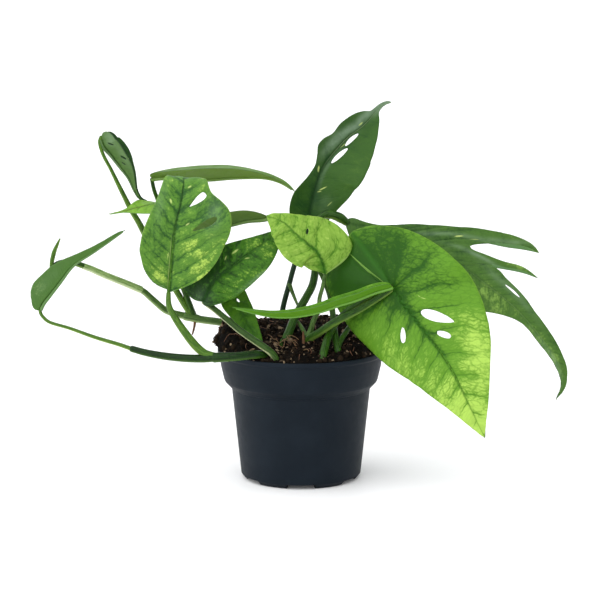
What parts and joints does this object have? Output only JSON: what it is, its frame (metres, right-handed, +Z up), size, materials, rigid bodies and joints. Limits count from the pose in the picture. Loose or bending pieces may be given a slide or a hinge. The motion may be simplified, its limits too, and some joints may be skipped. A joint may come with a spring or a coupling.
{
  "type": "potted pothos plant",
  "caption": "House plant in a round plastic nursery pot: trailing vines, upright stalks and broad, slotted and split pointed leaves over a heap of soil.",
  "frame": {"origin": "middle of the pot's underside, on its small central foot", "axes": "+Z up along the pot's axis, +X to the plant's right, -Y to its front"},
  "size_m": [0.3796, 0.1304, 0.2678],
  "materials": {
    "pot": "satin",
    "soil": "matte",
    "stem": "satin",
    "leaf_dark": "satin",
    "leaf_mid": "satin",
    "leaf_lime": "satin"
  },
  "bodies": {
    "root": {"pot": "pot", "soil": "soil", "vine_front": "stem", "vine_back": "stem", "stem_centre": "stem", "stalk_mottled": "stem", "stalk_strap": "stem", "stalk_tall": "stem", "stalk_split": "stem", "stalk_olive": "stem", "stalk_low": "stem", "leaf_heart": "leaf_mid", "leaf_high_left": "leaf_dark", "leaf_far_left": "leaf_mid", "leaf_arching": "leaf_mid", "leaf_olive": "leaf_dark", "leaf_mottled": "leaf_mid", "leaf_lime": "leaf_lime", "leaf_broad": "leaf_mid", "leaf_strap": "leaf_lime", "leaf_tall": "leaf_dark", "leaf_split": "leaf_dark", "leaf_low": "leaf_dark", "leaf_young": "leaf_lime"}
  },
  "joints": []
}
